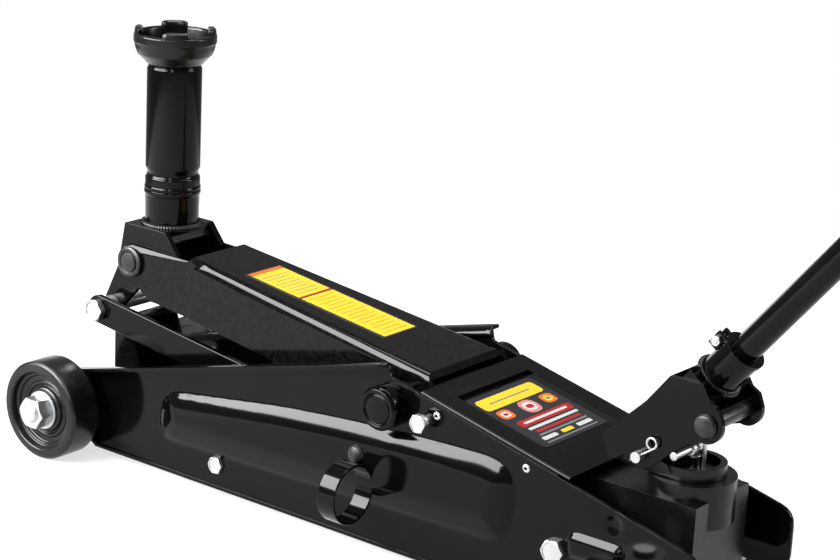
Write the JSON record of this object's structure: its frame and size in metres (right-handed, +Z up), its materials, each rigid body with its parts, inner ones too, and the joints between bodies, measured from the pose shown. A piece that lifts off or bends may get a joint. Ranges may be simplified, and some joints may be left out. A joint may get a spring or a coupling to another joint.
{
  "type": "trolley jack",
  "caption": "Hydraulic trolley jack with steel side frames, a parallelogram lift arm, an extension post with a lugged saddle, and a swivelling pump handle.",
  "frame": {"origin": "on the floor, at the middle of the jack's overall plan outline", "axes": "+X from the saddle end to the handle end, +Y to the operator's right, +Z up"},
  "size_m": [1.0766, 0.237, 0.7507],
  "materials": {
    "black_paint": "gloss enamel",
    "cast_black": "painted casting",
    "zinc": "bright zinc plate",
    "steel": "machined, oiled",
    "black_oxide": "black oxide",
    "bright_steel": "ground and polished",
    "black_wheel": "satin black",
    "label": "printed film with plain colour blocks",
    "rubber": "ribbed moulded rubber"
  },
  "bodies": {
    "frame": {"side_plate_left": "black_paint", "side_plate_right": "black_paint", "front_axle": "steel", "axle_spacers": "black_paint", "axle_washers": "zinc", "axle_nuts": "zinc", "front_rest": "black_paint", "front_tie_tube": "steel", "front_tie_bolt": "zinc", "rear_tie_bolt": "zinc", "stop_bolt": "zinc", "pivot_shaft": "steel", "pivot_hubs": "black_paint", "link_bolts_rear": "black_oxide", "cover_plate": "black_paint", "cover_screws": "zinc", "cover_label": "label", "storage_ring": "black_paint", "caster_brackets": "black_paint", "bracket_bolts": "zinc", "pump_block": "cast_black", "reservoir": "black_paint", "ram_cylinder": "steel", "gland_nut": "steel", "filler_plug": "black_oxide", "plunger_spring": "steel"},
    "wheel_left": {"front_wheel_left": "black_wheel"},
    "wheel_right": {"front_wheel_right": "black_wheel"},
    "fork_left": {"caster_fork_left": "zinc"},
    "fork_right": {"caster_fork_right": "zinc"},
    "roller_left": {"caster_wheel_left": "black_wheel"},
    "roller_right": {"caster_wheel_right": "black_wheel"},
    "arm": {"lift_arm": "black_paint", "arm_lever": "black_paint", "ram_pin": "steel", "arm_label": "label"},
    "carrier": {"saddle_carrier": "black_paint", "carrier_pin": "steel", "link_bolts_front": "zinc", "lower_post": "black_paint"},
    "link_left": {"lower_link_left": "black_paint"},
    "link_right": {"lower_link_right": "black_paint"},
    "extension": {"extension_post": "black_paint"},
    "saddle": {"saddle": "cast_black"},
    "ram": {"ram": "bright_steel"},
    "sleeve": {"release_sleeve": "steel"},
    "swivel": {"turntable": "cast_black"},
    "release": {"release_rod": "zinc"},
    "plunger": {"plunger": "bright_steel"},
    "lever": {"pump_lever": "black_paint", "plunger_roller": "steel", "fulcrum_bolt": "zinc", "hairpin": "zinc", "handle_bolt": "black_oxide", "clamp_bolt": "zinc"},
    "handle": {"handle_lower": "black_paint", "handle_upper": "black_paint", "joint_button": "zinc", "grip": "rubber"}
  },
  "joints": [
    {"name": "arm_lift", "type": "hinge", "parent": "frame", "child": "arm", "pos_m": [-0.16078, 0, 0.1225], "axis": [0, 1, 0], "range_deg": [0, 50]},
    {"name": "carrier_level", "type": "hinge", "parent": "arm", "child": "carrier", "pos_m": [-0.46515, 0, 0.16257], "axis": [0, 1, 0], "range_deg": [-50, 0]},
    {"name": "link_swing_left", "type": "hinge", "parent": "frame", "child": "link_left", "pos_m": [-0.18628, 0, 0.078], "axis": [0, 1, 0], "range_deg": [0, 50]},
    {"name": "link_swing_right", "type": "hinge", "parent": "frame", "child": "link_right", "pos_m": [-0.18628, 0, 0.078], "axis": [0, 1, 0], "range_deg": [0, 50]},
    {"name": "ram_stroke", "type": "slide", "parent": "frame", "child": "ram", "axis": [-1, 0, 0], "range_m": [0, 0.04226]},
    {"name": "front_spin_left", "type": "hinge", "parent": "frame", "child": "wheel_left", "pos_m": [-0.49678, 0, 0.0415], "axis": [0, 1, 0], "continuous": true},
    {"name": "front_spin_right", "type": "hinge", "parent": "frame", "child": "wheel_right", "pos_m": [-0.49678, 0, 0.0415], "axis": [0, 1, 0], "continuous": true},
    {"name": "caster_turn_left", "type": "hinge", "parent": "frame", "child": "fork_left", "pos_m": [0.04822, -0.0995, 0.022], "axis": [0, 0, 1], "continuous": true},
    {"name": "caster_turn_right", "type": "hinge", "parent": "frame", "child": "fork_right", "pos_m": [0.04822, 0.0995, 0.022], "axis": [0, 0, 1], "continuous": true},
    {"name": "caster_spin_left", "type": "hinge", "parent": "fork_left", "child": "roller_left", "pos_m": [0.05922, -0.0995, 0.022], "axis": [0, 1, 0], "continuous": true},
    {"name": "caster_spin_right", "type": "hinge", "parent": "fork_right", "child": "roller_right", "pos_m": [0.05922, 0.0995, 0.022], "axis": [0, 1, 0], "continuous": true},
    {"name": "extension_lift", "type": "slide", "parent": "carrier", "child": "extension", "axis": [0, 0, 1], "range_m": [0, 0.024]},
    {"name": "saddle_turn", "type": "hinge", "parent": "extension", "child": "saddle", "pos_m": [-0.45178, 0, 0.3275], "axis": [0, 0, 1], "continuous": true},
    {"name": "handle_swivel", "type": "hinge", "parent": "frame", "child": "swivel", "pos_m": [0.06422, 0, 0.1225], "axis": [0, 0, 1], "range_deg": [-165, 165]},
    {"name": "lever_pump", "type": "hinge", "parent": "swivel", "child": "lever", "pos_m": [0.03722, 0, 0.126], "axis": [0, 1, 0], "range_deg": [-26, 12]},
    {"name": "plunger_stroke", "type": "slide", "parent": "frame", "child": "plunger", "axis": [0, 0, 1], "range_m": [-0.00535, 0.01158], "deforming": ["plunger_spring"]},
    {"name": "handle_twist", "type": "hinge", "parent": "lever", "child": "handle", "pos_m": [0.05622, 0, 0.161], "axis": [0.6293, 0, 0.7771], "range_deg": [0, 90]},
    {"name": "release_push", "type": "slide", "parent": "swivel", "child": "release", "axis": [0, 0, 1], "range_m": [-0.00301, 0]},
    {"name": "sleeve_push", "type": "slide", "parent": "frame", "child": "sleeve", "axis": [0, 0, 1], "range_m": [-0.00301, 0]}
  ],
  "couplings": [
    {"joint": "carrier_level", "follows": "arm_lift", "ratio": -1},
    {"joint": "link_swing_left", "follows": "arm_lift", "ratio": 1},
    {"joint": "link_swing_right", "follows": "arm_lift", "ratio": 1},
    {"joint": "ram_stroke", "follows": "arm_lift", "m_per_rad": 0.048428},
    {"joint": "plunger_stroke", "follows": "lever_pump", "m_per_rad": -0.0255},
    {"joint": "release_push", "follows": "handle_twist", "m_per_rad": -0.0019099},
    {"joint": "sleeve_push", "follows": "handle_twist", "m_per_rad": -0.0019099}
  ]
}
